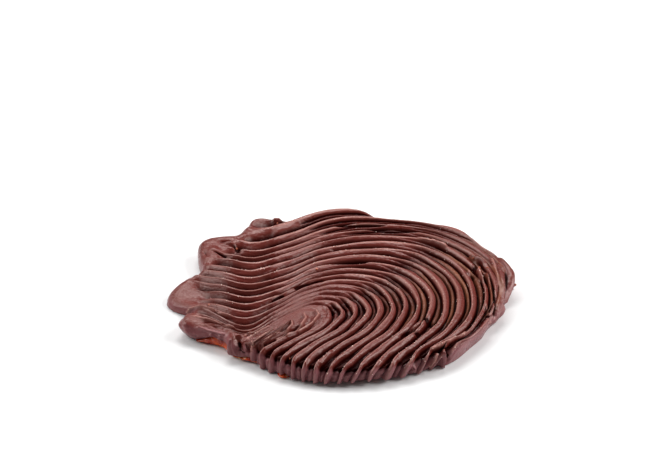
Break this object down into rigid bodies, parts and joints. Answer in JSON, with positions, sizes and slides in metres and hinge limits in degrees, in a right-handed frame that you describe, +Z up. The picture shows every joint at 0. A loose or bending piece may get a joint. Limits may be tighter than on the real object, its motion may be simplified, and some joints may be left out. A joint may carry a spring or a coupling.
{
  "type": "florentine cookie",
  "caption": "Flat florentine cookie: an almond caramel biscuit under a chocolate coat combed into curved ridges, lying on its base.",
  "frame": {"origin": "on the table, under the middle of the cookie's bounding box", "axes": "+Z up out of the combed chocolate side; +X along the longest side, to the viewer's right; +Y away from the viewer, so the notch in the edge is at -X -Y"},
  "size_m": [0.0993, 0.092, 0.0075],
  "materials": {
    "dark_chocolate": "set chocolate, satin",
    "almond_caramel": "baked caramel with almonds, slightly sticky"
  },
  "bodies": {
    "root": {"chocolate_coat": "dark_chocolate", "nut_biscuit": "almond_caramel"}
  },
  "joints": []
}
